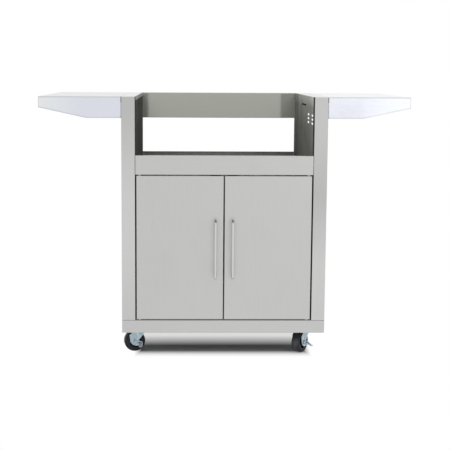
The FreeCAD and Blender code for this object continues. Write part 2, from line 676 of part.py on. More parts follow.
skin = new_body("left_door_skin")
block(skin, "Additive", (DOOR_LEFT, DOOR_RIGHT), (FRONT, DOOR_BACK), (DOOR_LOW, DOOR_HIGH))
soften(skin, "bend", ["-y"])
block(skin, "Subtractive", (f"{DOOR_LEFT} + sheet", f"{DOOR_RIGHT} - sheet"),
      (f"{FRONT} + sheet", f"{DOOR_BACK} + overcut"), (f"{DOOR_LOW} + sheet", f"{DOOR_HIGH} - sheet"))
rod(skin, "Subtractive", "z", (PIVOT_X, PIVOT_Y, f"{DOOR_LOW} - overcut"), "pin_radius",
    f"{DOOR_HIGH} - {DOOR_LOW} + overcut * 2")
for height in (HANDLE_LOW, HANDLE_HIGH):
    spot = ("-handle_offset", f"{FRONT} - overcut", height)
    rod(skin, "Subtractive", "y", spot, "screw_shank", "drill / 2")

liner = new_body("left_door_liner")
LINER_IN = "(sheet + nest)"
block(liner, "Additive", (f"{DOOR_LEFT} + {LINER_IN}", f"{DOOR_RIGHT} - {LINER_IN}"),
      (f"{DOOR_BACK} - liner_flange", DOOR_BACK), (f"{DOOR_LOW} + {LINER_IN}", f"{DOOR_HIGH} - {LINER_IN}"))
block(liner, "Subtractive", (f"{DOOR_LEFT} + {LINER_IN} + sheet", f"{DOOR_RIGHT} - {LINER_IN} - sheet"),
      (f"{DOOR_BACK} - liner_flange - overcut", f"{DOOR_BACK} - sheet"),
      (f"{DOOR_LOW} + {LINER_IN} + sheet", f"{DOOR_HIGH} - {LINER_IN} - sheet"))

pins = []
for number, low in enumerate((f"{DOOR_LOW} - pin_reach", f"{DOOR_HIGH} - pin_root"), start=1):
    pin = new_body(f"left_pin_{number}")
    rod(pin, "Additive", "z", (PIVOT_X, PIVOT_Y, low), "pin_radius", "pin_reach + pin_root")
    soften(pin, "pin_round", ["-z"])
    soften(pin, "pin_round", ["+z"])
    pins.append(pin)

strike = new_body("left_strike_plate")
block(strike, "Additive", ("strike_margin - catch_edge - catch_width", "-catch_edge - strike_margin"),
      (DOOR_BACK, f"{DOOR_BACK} + strike_thick"),
      ("rail_bottom - catch_height + strike_margin", f"{DOOR_HIGH} - strike_margin"))
soften(strike, "bend", [], along="y")


def bend_arc(across, up, radius, start):
    """A quarter circle for the handle's path, from a starting angle in degrees."""
    ends = [math.radians(start), math.radians(start + 90)]
    return Part.ArcOfCircle(Part.Circle(V(across, up, 0), V(0, 0, 1), radius), *ends)


handle = new_body("left_door_handle")
path = sketch_on(handle, "YZ_Plane", "-handle_offset")
face, bar = size_of(FRONT), size_of(BAR_Y)
low, high, turn = size_of(HANDLE_LOW), size_of(HANDLE_HIGH), size_of("handle_bend")
path.addGeometry(Part.LineSegment(V(face, low, 0), V(bar + turn, low, 0)), False)
path.addGeometry(bend_arc(bar + turn, low + turn, turn, 180), False)
path.addGeometry(Part.LineSegment(V(bar, low + turn, 0), V(bar, high - turn, 0)), False)
path.addGeometry(bend_arc(bar + turn, high - turn, turn, 90), False)
path.addGeometry(Part.LineSegment(V(bar + turn, high, 0), V(face, high, 0)), False)
for first, first_end, second, second_end in ((0, 2, 1, 2), (1, 1, 2, 1), (2, 2, 3, 2), (3, 1, 4, 1)):
    path.addConstraint(Sketcher.Constraint("Tangent", first, first_end, second, second_end))
for number, level in ((0, "Horizontal"), (2, "Vertical"), (4, "Horizontal")):
    path.addConstraint(Sketcher.Constraint(level, number))
hold(path, "DistanceX", -1, 1, 0, 1, text=FRONT)
hold(path, "DistanceY", -1, 1, 0, 1, text=HANDLE_LOW)
hold(path, "DistanceX", -1, 1, 4, 2, text=FRONT)
hold(path, "DistanceY", -1, 1, 4, 2, text=HANDLE_HIGH)
hold(path, "DistanceX", -1, 1, 2, 1, text=BAR_Y)
hold(path, "Radius", 1, text="handle_bend")
hold(path, "Radius", 3, text="handle_bend")
ring = sketch_on(handle, "XZ_Plane", f"0 - {FRONT}")
leg_middle = V(-size_of("handle_offset"), low, 0)
ring.addGeometry(Part.Circle(leg_middle, V(0, 0, 1), size_of("handle_radius")), False)
hold(ring, "DistanceX", -1, 1, 0, 3, text="0 - handle_offset")
hold(ring, "DistanceY", -1, 1, 0, 3, text=HANDLE_LOW)
hold(ring, "Radius", 0, text="handle_radius")
doc.recompute()
bent = handle.newObject("PartDesign::AdditivePipe", "left_door_handle_bar")
bent.Profile = ring
bent.Spine = (path, [f"Edge{number}" for number in range(1, 6)])
doc.recompute()
for height in (HANDLE_LOW, HANDLE_HIGH):
    rod(handle, "Subtractive", "y", ("-handle_offset", f"{FRONT} - screw_length", height), "screw_shank",
        "screw_length + overcut")
handle_screws = []
for number, height in enumerate((HANDLE_LOW, HANDLE_HIGH), start=1):
    seat = ("-handle_offset", f"{FRONT} + sheet", height)
    handle_screws.append(screw(f"left_handle_screw_{number}", "y", seat, -1))

LEFT_DOOR = {
    "door_skin": skin,
    "door_liner": liner,
    "door_handle": handle,
    "handle_screws": together(handle_screws, "left_handle_screws"),
    "hinge_pins": together(pins, "left_hinge_pins"),
    "strike_plate": strike,
}

# Shelves: a folded tray with tapered aprons, two stiffeners, and a pivot stud inside each apron.
APRON_LOW = "(body_height - apron_height)"
END_LOW = "(body_height - apron_end)"
tray = new_body("left_shelf_tray")
drawn = outline(tray, "XZ_Plane", f"0 - {BACK}", (
    (SHELF_IN, "body_height"),
    (SHELF_OUT, "body_height"),
    (SHELF_OUT, END_LOW),
    (f"{SHELF_IN} - apron_flat", APRON_LOW),
    (SHELF_IN, APRON_LOW),
))
pad(tray, drawn, "body_depth")
soften(tray, "shelf_corner", ["+x", "-z"])
soften(tray, "bend", ["-x"], along="z")
soften(tray, "bend * 0.75", ["+z"])
INSIDE_DEPTH = (f"{FRONT} + sheet", f"{BACK} - sheet")
block(tray, "Subtractive", (f"{SHELF_OUT} + sheet", f"{SHELF_IN} - sheet"), INSIDE_DEPTH,
      (f"{APRON_LOW} - overcut", "body_height - sheet"))
block(tray, "Subtractive", (f"{SHELF_IN} - sheet - overcut", f"{SHELF_IN} + overcut"), INSIDE_DEPTH,
      (f"{APRON_LOW} - overcut", "body_height - shelf_lip"))

# Hems run inwards from the lower edges of the front, back and end aprons.
TAPER = "((apron_height - apron_end) / (shelf_length - apron_flat))"
for offset, inwards in ((f"0 - {FRONT} - sheet / 2", True), (f"sheet / 2 - {BACK}", False)):
    strip = outline(tray, "XZ_Plane", offset, (
        (f"{SHELF_IN} - hem_start", APRON_LOW),
        (f"{SHELF_IN} - apron_flat", APRON_LOW),
        (f"{SHELF_OUT} + sheet / 2", f"{END_LOW} - sheet / 2 * {TAPER}"),
        (f"{SHELF_OUT} + sheet / 2", f"{END_LOW} + sheet"),
        (f"{SHELF_IN} - apron_flat", f"{APRON_LOW} + sheet"),
        (f"{SHELF_IN} - hem_start", f"{APRON_LOW} + sheet"),
    ))
    pad(tray, strip, "hem_width", back=inwards)
    doc.recompute()
block(tray, "Additive", (f"{SHELF_OUT} + sheet / 2", f"{SHELF_OUT} + hem_width"),
      (f"{FRONT} + sheet / 2", f"{BACK} - sheet / 2"), (END_LOW, f"{END_LOW} + sheet"))

ribs = []
for number in range(2):
    rib = new_body(f"left_rib_{number + 1}")
    centre = f"({SHELF_IN} - rib_inset - rib_step * {number})"
    block(rib, "Additive", (f"{centre} - rib_width / 2", f"{centre} + rib_width / 2"),
          INSIDE_DEPTH, ("body_height - sheet - rib_height", "body_height - sheet"))
    soften(rib, "bend", ["-z"], along="y")
    block(rib, "Subtractive", (f"{centre} - rib_width / 2 + sheet", f"{centre} + rib_width / 2 - sheet"),
          (FRONT, BACK), ("body_height - rib_height", "body_height"))
    ribs.append(rib)

EAR_BACK = f"({EAR_FRONT} + bracket_thick)"
stud = new_body("left_front_stud")
rod(stud, "Additive", "y", (STUD_X, f"{FRONT} + sheet", STUD_Z), "stud_shoulder", "ear_gap - nest")
rod(stud, "Additive", "y", (STUD_X, f"{FRONT} + sheet", STUD_Z), "stud_radius",
    "ear_gap + bracket_thick + stud_end")
rod(stud, "Additive", "y", (STUD_X, f"{EAR_BACK} + nest", STUD_Z), "stud_shoulder", "stud_cap")
LEFT_SHELF = {
    "shelf_tray": tray,
    "shelf_stiffeners": together(ribs, "left_shelf_stiffeners"),
    "shelf_pivots": together([stud, mirrored(stud, "left_rear_stud", "y")], "left_shelf_pivots"),
}

bracket = new_body("left_front_bracket")
PLATE_X = f"(-{HALF} - bracket_thick)"
block(bracket, "Additive", (PLATE_X, f"-{HALF}"), (EAR_FRONT, f"{EAR_FRONT} + bracket_depth"),
      (BRACKET_LOW, f"{BRACKET_LOW} + bracket_height"))
block(bracket, "Additive", (STUD_X, f"-{HALF}"), (EAR_FRONT, EAR_BACK),
      (BRACKET_LOW, f"{STUD_Z} + shelf_corner"))
rod(bracket, "Additive", "y", (STUD_X, EAR_FRONT, STUD_Z), "shelf_corner", "bracket_thick")
rod(bracket, "Subtractive", "y", (STUD_X, f"{EAR_FRONT} - overcut", STUD_Z), "stud_radius + running_fit",
    "bracket_thick + overcut * 2")
bracket_screws = []
for number, (along, up) in enumerate(BRACKET_BOLTS, start=1):
    rod(bracket, "Subtractive", "x", (f"{PLATE_X} - overcut", along, up), "screw_shank",
        "bracket_thick + overcut * 2")
    bracket_screws.append(screw(f"bracket_bolt_{number}", "x", (PLATE_X, along, up), 1))
keep(four_corners(bracket, "shelf_brackets"), "shelf_brackets")
bracket_pair = together(bracket_screws, "bracket_bolt_pair")
keep(four_corners(bracket_pair, "shelf_bracket_bolts"), "shelf_bracket_bolts")

for kind, source in {**LEFT_DOOR, **LEFT_SHELF}.items():
    keep(source, f"left_{kind}")
    keep(mirrored(source, f"right_{kind}", "x"), f"right_{kind}")


# Casters: each is drawn around its kingpin with the trail along +X and the brake on +Y, then turned.


def stand(thing, corner, forward="0", up="0"):
    """Turn a caster piece to its corner's trail direction and move it under that corner."""
    king_x = KING_X if "left" in corner else f"-{KING_X}"
    king_y = KING_Y if "front" in corner else f"handle_reach - {KING_Y}"
    thing.Placement = FreeCAD.Placement(V(), FreeCAD.Rotation(V(0, 0, 1), 1))
    drive(thing, "Placement.Rotation.Angle", f"{corner}_turn")
    drive(thing, "Placement.Base.x", f"{king_x} + {forward} * cos({corner}_turn)")
    drive(thing, "Placement.Base.y", f"{king_y} + {forward} * sin({corner}_turn)")
    drive(thing, "Placement.Base.z", up)
    return thing


CROWN = "(fork_top - race_step)"
LEVER_IN = f"({LEVER_U} - lever_width / 2)"
LEVER_OUT = f"({LEVER_U} + lever_width / 2)"
LUG_IN = f"({LEVER_IN} - lug_air - lug_thick)"


def fork(corner):
    body = new_body(f"{corner}_fork")
    block(body, "Additive", ("-fork_half", "fork_half"), (f"-{LEG_OUT}", LEG_OUT),
          (f"{CROWN} - fork_thick", CROWN))
    rod(body, "Additive", "z", ("0", "0", "fork_top - fork_thick"), "race_radius", "fork_thick")
    rod(body, "Additive", "z", ("0", "0", "fork_top - fork_thick"), "kingpin_radius",
        "caster_top - fork_top + fork_thick - overcut")
    leg = (
        ("-fork_half", CROWN),
        ("fork_half", CROWN),
        ("trail + fork_tail", "wheel_radius + fork_shoulder"),
        ("trail + fork_heel", "wheel_radius"),
        ("trail + fork_heel / 2", "wheel_radius - fork_toe"),
        ("trail", "wheel_radius - fork_sole"),
        (f"{LUG_IN} - lug_air * 2", "wheel_radius - fork_sole"),
        (f"{LUG_IN} - lug_air * 2", "lever_height + lug_height / 2 + lug_air * 2"),
        ("trail - notch_reach", "wheel_radius + notch_rise"),
        ("-fork_half", f"{CROWN} - fork_half / 2"),
    )
    pad(body, outline(body, "XZ_Plane", f"0 - {LEG_IN}", leg), "fork_thick", back=True)
    pad(body, outline(body, "XZ_Plane", LEG_IN, leg), "fork_thick")
    doc.recompute()
    for low in (LUG_IN, f"{LEVER_OUT} + lug_air"):
        block(body, "Additive", (low, f"{low} + lug_thick"),
              (f"{LEG_OUT} - fork_thick / 4", f"{LEVER_V} + barrel_radius"),
              ("lever_height - lug_height / 2", "lever_height + lug_height / 2"))
    rod(body, "Subtractive", "x", (f"{LUG_IN} - overcut", LEVER_V, "lever_height"), "lever_pin + running_fit",
        "lever_width + (lug_air + lug_thick + overcut) * 2")
    block(body, "Subtractive", (f"{LEVER_IN} + window_margin", f"{LEVER_OUT} - window_margin"),
          (f"{LEG_IN} - overcut", f"{LEG_OUT} + overcut"),
          ("lever_height - window_height / 2", "lever_height + window_height / 2"))
    rod(body, "Subtractive", "y", ("trail", f"-{LEG_OUT} - overcut", "wheel_radius"), "axle_radius",
        "fork_inside + (fork_thick + overcut) * 2")
    return body


def axle(corner):
    body = new_body(f"{corner}_axle")
    rod(body, "Additive", "y", ("trail", LEG_OUT, "wheel_radius"), "axle_radius * 1.7", "axle_radius")
    soften(body, "axle_radius / 3", ["+y"])
    rod(body, "Additive", "y", ("trail", f"-{LEG_OUT} - axle_radius * 1.5", "wheel_radius"), "axle_radius",
        "fork_inside + fork_thick * 2 + axle_radius * 1.5")
    nut = body.newObject("PartDesign::AdditivePrism", f"{corner}_axle_nut")
    nut.Polygon = 6
    nut.Placement = FreeCAD.Placement(V(), TURN["y"])
    drive(nut, "Circumradius", "axle_radius * 1.8")
    drive(nut, "Height", "axle_radius")
    put(nut, ("trail", f"-{LEG_OUT} - axle_radius", "wheel_radius"))
    return body


def wheel_core(corner):
    body = new_body(f"{corner}_wheel_core")
    rim_in = "(rim_radius - rim_thick)"
    half = (
        ("axle_radius + running_fit", "-hub_width / 2"),
        ("hub_radius", "-hub_width / 2"),
        ("hub_radius", "-web_width / 2"),
        (rim_in, "-web_width / 2"),
        (rim_in, "rim_inset - tread_width / 2"),
        ("rim_radius", "rim_inset - tread_width / 2"),
        ("rim_radius", "tread_width / 2 - rim_inset"),
        (rim_in, "tread_width / 2 - rim_inset"),
        (rim_in, "web_width / 2"),
        ("hub_radius", "web_width / 2"),
        ("hub_radius", "hub_width / 2"),
        ("axle_radius + running_fit", "hub_width / 2"),
    )
    spin(body, outline(body, "XY_Plane", "0", half))
    return body


def tyre(corner):
    body = new_body(f"{corner}_tyre")
    half = (
        ("rim_radius", "-tread_width / 2"),
        ("wheel_radius - tread_drop", "-tread_width / 2"),
        ("wheel_radius", "tread_slope - tread_width / 2"),
        ("wheel_radius", "tread_width / 2 - tread_slope"),
        ("wheel_radius - tread_drop", "tread_width / 2"),
        ("rim_radius", "tread_width / 2"),
    )
    spin(body, outline(body, "XY_Plane", "0", half))
    return body


def lever(corner):
    body = new_body(f"{corner}_brake_lever")
    rod(body, "Additive", "x", (LEVER_IN, LEVER_V, "lever_height"), "barrel_radius", "lever_width")
    rod(body, "Additive", "x", (f"{LUG_IN} - lug_air", LEVER_V, "lever_height"), "lever_pin",
        "lever_width + lug_air * 4 + lug_thick * 2")
    shoe_out = f"({LEVER_OUT} - window_margin - overcut)"
    block(body, "Additive", (f"{shoe_out} - shoe_width", shoe_out), ("web_width / 2 + shoe_air", LEVER_V),
          ("lever_height - shoe_height / 2", "lever_height + shoe_height / 2"))
    tab = body.newObject("PartDesign::AdditiveBox", f"{corner}_brake_tab")
    tab.Placement = FreeCAD.Placement(V(), FreeCAD.Rotation(V(1, 0, 0), -1))
    drive(tab, "Length", "lever_width")
    drive(tab, "Width", "lever_reach")
    drive(tab, "Height", "lever_thick")
    put(tab, (LEVER_IN, LEVER_V, "lever_height"))
    drive(tab, "Placement.Rotation.Angle", "-lever_slope")
    doc.recompute()
    tilted = FreeCAD.Rotation(V(1, 0, 0), -size_of("lever_slope")).multVec(V(0, 0, 1))
    foot = []
    for number, edge in enumerate(tab.Shape.Edges, start=1):
        if isinstance(edge.Curve, Part.Line) and abs(edge.Curve.Direction.dot(tilted)) > 0.999:
            if edge.CenterOfMass.y > size_of(f"{LEVER_V} + lever_reach / 2"):
                foot.append(f"Edge{number}")
    toe = body.newObject("PartDesign::Fillet", f"{corner}_brake_toe")
    toe.Base = (tab, foot)
    drive(toe, "Radius", "toe_round")
    doc.recompute()
    hole = body.newObject("PartDesign::SubtractiveCylinder", f"{corner}_brake_hole")
    hole.Placement = FreeCAD.Placement(V(), FreeCAD.Rotation(V(1, 0, 0), -1))
    drive(hole, "Radius", "hole_radius")
    drive(hole, "Height", "lever_thick * 6")
    put(hole, (
        LEVER_U,
        f"{LEVER_V} + hole_reach * cos(lever_slope) - lever_thick * 3 * sin(lever_slope)",
        "lever_height - hole_reach * sin(lever_slope) - lever_thick * 3 * cos(lever_slope)",
    ))
    drive(hole, "Placement.Rotation.Angle", "-lever_slope")
    return body


for corner in ("front_left", "front_right", "rear_left", "rear_right"):
    keep(stand(fork(corner), corner), f"{corner}_fork")
    keep(stand(axle(corner), corner), f"{corner}_axle")
    keep(stand(wheel_core(corner), corner, "trail", "wheel_radius"), f"{corner}_wheel_core")
    keep(stand(tyre(corner), corner, "trail", "wheel_radius"), f"{corner}_tyre")
    keep(stand(lever(corner), corner), f"{corner}_brake_lever")

doc.recompute()
faults = []
for thing in doc.Objects:
    if any(word in thing.State for word in ("Invalid", "Error")):
        faults.append(f"{thing.Name}: {thing.State}")
for piece in nodes:
    if piece.Shape.isNull() or not piece.Shape.isValid() or not piece.Shape.Solids:
        faults.append(f"{piece.Label}: no sound solid")
if faults:
    raise RuntimeError("; ".join(faults))

os.makedirs("parts", exist_ok=True)
for piece in nodes:
    piece.Shape.exportStep(f"parts/{piece.Label}.step")
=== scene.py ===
"""A stainless outdoor oven cart in a white studio: finishes and wheels around the cart's CAD frame."""
import json
import math
from typing import NamedTuple

import bmesh
import bpy
from mathutils import Matrix, Vector


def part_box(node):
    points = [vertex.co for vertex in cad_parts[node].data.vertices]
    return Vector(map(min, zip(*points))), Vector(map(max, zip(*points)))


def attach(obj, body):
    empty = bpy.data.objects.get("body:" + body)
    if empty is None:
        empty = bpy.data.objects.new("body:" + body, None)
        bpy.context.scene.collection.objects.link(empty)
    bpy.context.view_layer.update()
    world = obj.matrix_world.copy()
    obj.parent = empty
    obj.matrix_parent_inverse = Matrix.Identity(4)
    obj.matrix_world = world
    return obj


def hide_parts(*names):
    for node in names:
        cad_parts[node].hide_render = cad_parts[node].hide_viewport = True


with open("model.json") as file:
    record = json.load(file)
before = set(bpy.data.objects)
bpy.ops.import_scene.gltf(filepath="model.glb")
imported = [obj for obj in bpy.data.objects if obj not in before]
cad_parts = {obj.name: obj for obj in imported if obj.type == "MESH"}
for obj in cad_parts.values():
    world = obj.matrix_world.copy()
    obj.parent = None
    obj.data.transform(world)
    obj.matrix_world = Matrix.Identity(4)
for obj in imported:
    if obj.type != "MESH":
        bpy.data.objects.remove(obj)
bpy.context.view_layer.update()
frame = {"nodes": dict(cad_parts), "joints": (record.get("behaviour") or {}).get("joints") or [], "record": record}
nodes = frame["nodes"]
record = frame["record"]
scene = bpy.context.scene

MILLIMETRE = 0.001
WHITE = (1.0, 1.0, 1.0)
CORNERS = ("front_left", "front_right", "rear_left", "rear_right")

# Places on the cart, in metres, as the frame gives them.
CABINET_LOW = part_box("base_front_rail")[0]
CABINET_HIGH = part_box("rear_right_post")[1]
WALL_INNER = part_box("right_side_panel")[0].x
SHELF_LOW, SHELF_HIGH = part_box("right_shelf_tray")
SHELF_MIDDLE = (SHELF_LOW.x + SHELF_HIGH.x) / 2


def below_top(*drops):
    """Heights so far below the cabinet's top, in metres."""
    return tuple(CABINET_HIGH.z - drop for drop in drops)


def behind_front(*depths):
    """Places along Y so far behind the cabinet's front, in metres."""
    return tuple(CABINET_LOW.y + depth for depth in depths)


# Camera: the photograph's view. Its spot is in metres, its turns in degrees, lens and sensor in millimetres.
CAMERA_SPOT = Vector((-0.1366, -3.508, 1.007))
CAMERA_YAW = 0.799
CAMERA_PITCH = -6.448
CAMERA_ROLL = 0.253
CAMERA_LENS = 75.02
SENSOR = 36.0
IMAGE_SHIFT = (0.06, -0.11)


class SoftBox(NamedTuple):
    """A rectangular lamp: its place, target and sides in metres, its watts, and whether metal shows it."""
    spot: Vector
    target: Vector
    sides: tuple
    watts: float
    mirrored: bool = False


# Light: the world's strength for diffuse light, and the soft boxes.
# The high boxes don't show in the metal, so that flat tops stay below white from every side.
AMBIENT = 0.55
SOFT_BOXES = {
    "key_box": SoftBox(Vector((-1.6, -2.4, 3.6)), Vector((0.0, -0.4, 0.3)), (2.4, 2.4), 58.0),
    "fill_box": SoftBox(Vector((1.8, -2.5, 3.4)), Vector((0.1, -0.4, 0.3)), (2.4, 2.4), 36.0),
    "top_box": SoftBox(Vector((0.0, -0.8, 3.8)), Vector((0.0, -0.3, 0.3)), (2.8, 2.8), 28.0),
    "side_box": SoftBox(Vector((1.5, -4.2, 0.72)), Vector((0.5, -0.3, 0.88)), (1.2, 0.6), 1.45,
                        mirrored=True),
}

# Floor: white paper, in metres. It is plain white outside the cart's outline, and under its middle it glows white
# as painted light.
# Inside the outline the paper is painted grey as a painted shadow. The shadow begins at depths in from the
# outline, along X and along Y, and ends at depths along Y.
FLOOR_SIZE = 14.0
SHADOW_OUTLINE = tuple((CABINET_HIGH - CABINET_LOW).xy / 2)
SHADOW_BEGINS = ((0.04, 0.065), (0.0, 0.08))
SHADOW_ENDS = (0.145, 0.275)
PAINTED_UNDER_GLOW = 0.7
PAINTED_SHADOW_PAPER = (0.33, 0.33, 0.33)
PAPER_ROUGHNESS = 0.9

# Sockets of the Mix node in its colour mode.
MIX_SHARE, MIX_FIRST, MIX_SECOND = 0, 6, 7
MIX_RESULT = 2

# Masks: the values between which each one rises from nothing to full.
INWARD_PRODUCT = (-0.06, -0.12)
UPWARD_TILT = (0.5, 0.9)
FOLD_SLANT = (0.1, 0.45)
SEAM_TILT = (0.1, 0.3)
EDGE_AGREEMENT = (0.99, 0.80)
EDGE_SAMPLES = 4

NOISE_ROUGHNESS = 0.55


class Band(NamedTuple):
    """A painted change of light and shade along an axis: a span in metres and the gains at its two ends."""
    axis: str
    span: tuple
    gains: tuple


def rgba(colour):
    """A plain colour with full cover, or a colour socket as it is."""
    return (*colour, 1.0) if isinstance(colour, tuple) else colour


def shade(colour, gain):
    """A plain colour made lighter or darker."""
    return tuple(min(1.0, part * gain) for part in colour)


class Finish:
    """A material's node tree, with short calls for the nodes that the finishes share."""

    def __init__(self, name, colour, metallic=0.0):
        self.material = bpy.data.materials.new(name)
        self.material.use_nodes = True
        self.material.diffuse_color = rgba(colour)
        self.tree = self.material.node_tree
        self.shader = self.tree.nodes["Principled BSDF"]
        self.set("Base Color", rgba(colour))
        self.set("Metallic", metallic)

    def set(self, socket, value):
        """Set or link one of the shader's inputs."""
        self.feed(self.shader.inputs[socket], value)

    def feed(self, socket, value):
        """Link an input to another node's output, or set its own value."""
        if isinstance(value, bpy.types.NodeSocket):
            self.tree.links.new(value, socket)
        else:
            socket.default_value = value

    def node(self, kind, inputs, **settings):
        """A new node with its settings made and its inputs fed."""
        made = self.tree.nodes.new(kind)
        for key, value in settings.items():
            setattr(made, key, value)
        for key, value in inputs.items():
            self.feed(made.inputs[key], value)
        return made

    def noise(self, cells, detail):
        """Noise from 0 to 1, with so many cells a metre along each axis and so many finer layers."""
        spot = self.node("ShaderNodeTexCoord", {}).outputs["Object"]
        place = self.node("ShaderNodeMapping", {"Vector": spot, "Scale": cells}).outputs["Vector"]
        made = self.node("ShaderNodeTexNoise", {"Vector": place, "Scale": 1.0, "Detail": detail,
                                                "Roughness": NOISE_ROUGHNESS})
        return made.outputs["Fac"]

    def between(self, value, span, results=(0.0, 1.0)):
        """Carry a value from one span to another, held at both ends."""
        made = self.node("ShaderNodeMapRange", {"Value": value, "From Min": span[0], "From Max": span[1],
                                                "To Min": results[0], "To Max": results[1]})
        return made.outputs["Result"]

    def blend(self, share, first, second):
        """A value between two values."""
        return self.between(share, (0.0, 1.0), (first, second))

    def combine(self, operation, first, second=0.0):
        """One step of arithmetic, which may need only the first value."""
        return self.node("ShaderNodeMath", {0: first, 1: second}, operation=operation).outputs["Value"]

    def mix(self, share, first, second):
        """A colour between two colours."""
        inputs = {MIX_SHARE: share, MIX_FIRST: rgba(first), MIX_SECOND: rgba(second)}
        return self.node("ShaderNodeMix", inputs, data_type="RGBA").outputs[MIX_RESULT]

    def shades(self, share, colour, spread):
        """A colour that is a little darker or lighter by its share."""
        return self.mix(share, shade(colour, 1.0 - spread), shade(colour, 1.0 + spread))

    def banded(self, colour, bands):
        """A colour with painted light and shade changed along bands."""
        for band in bands:
            gain = self.between(self.coordinate("Object", band.axis), band.span, band.gains)
            scaled = self.node("ShaderNodeVectorMath", {0: colour, "Scale": gain}, operation="SCALE")
            colour = scaled.outputs["Vector"]
        return colour

    def coordinate(self, output, axis):
        """One axis of the surface's own position ("Object") or direction ("Normal")."""
        whole = self.node("ShaderNodeTexCoord", {}).outputs[output]
        return self.node("ShaderNodeSeparateXYZ", {0: whole}).outputs[axis]

    def inward(self, axes):
        """1 on faces that look towards the cart's middle along any of the axes, 0 elsewhere."""
        within = 0.0
        for axis in axes:
            place, direction = (self.coordinate(output, axis) for output in ("Object", "Normal"))
            away = self.combine("MULTIPLY", place, direction)
            within = self.combine("MAXIMUM", within, self.between(away, INWARD_PRODUCT))
        return within

    def upward(self):
        """1 on faces that look up, 0 elsewhere."""
        return self.between(self.coordinate("Normal", "Z"), UPWARD_TILT)

    def fold(self):
        """0 on faces square to the axes, rising to 1 in the middle of a rounded fold."""
        slants = 0.0
        for pair in ("XY", "YZ", "ZX"):
            first, second = (self.coordinate("Normal", axis) for axis in pair)
            both = self.combine("MULTIPLY", first, second)
            slants = self.combine("MAXIMUM", slants, self.combine("ABSOLUTE", both))
        return self.between(slants, FOLD_SLANT)

    def seam(self):
        """1 in a fold that is turned partly upwards, 0 elsewhere."""
        tilted = self.between(self.coordinate("Normal", "Z"), SEAM_TILT)
        return self.combine("MULTIPLY", self.fold(), tilted)

    def edge(self, radius):
        """0 on flat faces, rising to 1 along the edges."""
        rounded = self.node("ShaderNodeBevel", {"Radius": radius}, samples=EDGE_SAMPLES).outputs["Normal"]
        plain = self.node("ShaderNodeNewGeometry", {}).outputs["Normal"]
        agreement = self.node("ShaderNodeVectorMath", {0: rounded, 1: plain}, operation="DOT_PRODUCT")
        return self.between(agreement.outputs["Value"], EDGE_AGREEMENT)

    def relief(self, height, depth, strength):
        """Bump from a height of 0 to 1 that stands for so many metres."""
        made = self.node("ShaderNodeBump", {"Height": height, "Distance": depth, "Strength": strength})
        self.set("Normal", made.outputs["Normal"])


def even_cells(cells):
    """The same number of cells a metre along all three axes."""
    return (cells, cells, cells)


def grain_cells(grain, along, across):
    """One number of cells a metre along the grain's axis and another across it."""
    return tuple(along if axis == grain else across for axis in "xyz")


def around(value, spread):
    """The ends of a span on both sides of a value."""
    return (value - spread, value + spread)


class Inside(NamedTuple):
    """The painted shade of faces that are turned towards the cart's middle along some axes.

    All that is nearer the middle along X than skin has it too, and so have faces turned inwards along Y,
    rising from nothing to full over the heights of cover, as painted shade under the shelves.
    """
    axes: str
    colour: tuple
    roughness: float = 0.6
    metal: float = 0.0
    contrast: float = 0.2
    bands: tuple = ()
    skin: float = 0.0
    cover: tuple = ()


def inner_faces(steel, inside):
    """1 on the faces that take the inside's painted shade, 0 elsewhere."""
    within = steel.inward(inside.axes)
    if inside.skin:
        from_middle = steel.combine("ABSOLUTE", steel.coordinate("Object", "X"))
        within = steel.combine("MAXIMUM", within, steel.combine("LESS_THAN", from_middle, inside.skin))
    # Faces turned inwards along Y take painted shade over the heights under the shelves.
    if inside.cover:
        shelf_shade = steel.between(steel.coordinate("Object", "Z"), inside.cover)
        recess = steel.combine("MULTIPLY", steel.inward("Y"), shelf_shade)
        within = steel.combine("MAXIMUM", within, recess)
    return within


# The part of a noise's range that it mostly fills.
MIDDLE = (0.3, 0.7)

# Brushed sheet: streaks as cells a metre along and across the grain, smudges as cells a metre and layers,
# with their shares in the tone, the spans of noise that change the roughness, and by how much.
BROAD_STREAKS = (3.0, 260.0)
FINE_STREAKS = (14.0, 1500.0)
STREAK_DETAIL = 2.0
BROAD_SHARE = 0.3
STREAK_SPAN = (0.25, 0.75)
STREAK_ROUGHNESS = 0.05
SMUDGES = ((9.0, 9.0, 7.0), 4.0)
SMUDGE_SHARE = 0.35
SMUDGE_SPAN = (0.45, 0.7)
SMUDGE_ROUGHNESS = 0.07
EDGE_POLISH = -0.08
STREAK_DEPTH = 0.05 * MILLIMETRE


